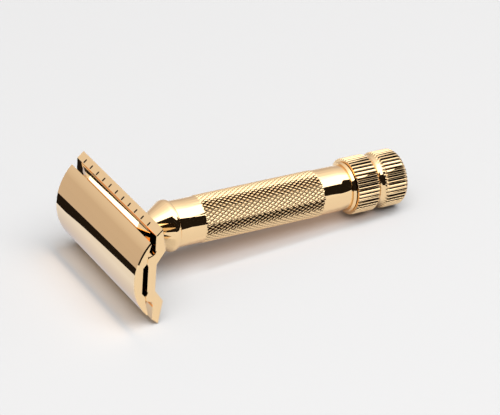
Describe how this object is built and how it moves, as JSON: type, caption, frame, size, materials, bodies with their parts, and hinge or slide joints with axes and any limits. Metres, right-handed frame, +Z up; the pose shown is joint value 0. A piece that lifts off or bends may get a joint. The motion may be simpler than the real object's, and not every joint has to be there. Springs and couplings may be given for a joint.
{
  "type": "safety razor",
  "caption": "Two-piece double-edge safety razor: curved cap on a notched guard plate, knurled tube, fluted knob that turns a draw rod to lift the cap.",
  "frame": {"origin": "centre of the bounding box in X and Y, on the surface that the razor lies on, with the razor lying as it rests: one guard bar's outer corner and the knob's rim touch Z = 0", "axes": "+Z up, +X from the head towards the knob, along the longest extent; the handle's axis lies in the XZ plane and rises 4.25 degrees towards the head; +Y along the head's length"},
  "size_m": [0.0852, 0.042, 0.0257],
  "materials": {
    "gold_cast": "polished gold plate on a zinc die casting",
    "gold_turned": "polished gold plate on turned brass, knurled where gripped",
    "steel": "turned steel, unplated"
  },
  "bodies": {
    "handle": {"guard_plate": "gold_cast", "handle_tube": "gold_turned", "end_bush": "gold_turned", "thrust_washer": "steel"},
    "knob": {"draw_rod": "steel", "knob": "gold_cast", "knob_screw": "steel"},
    "cap": {"cap": "gold_cast", "cap_stud": "gold_turned", "locating_pins": "gold_turned"}
  },
  "joints": [
    {"name": "knob_turn", "type": "hinge", "parent": "handle", "child": "knob", "pos_m": [0.03469, 0, 0.00764], "axis": [0.9973, 0, -0.0741], "range_deg": [0, 1800]},
    {"name": "cap_lift", "type": "slide", "parent": "handle", "child": "cap", "axis": [-0.9973, 0, 0.0741], "range_m": [0, 0.004]}
  ],
  "couplings": [
    {"joint": "knob_turn", "follows": "cap_lift", "rad_per_m": 7853.9}
  ]
}
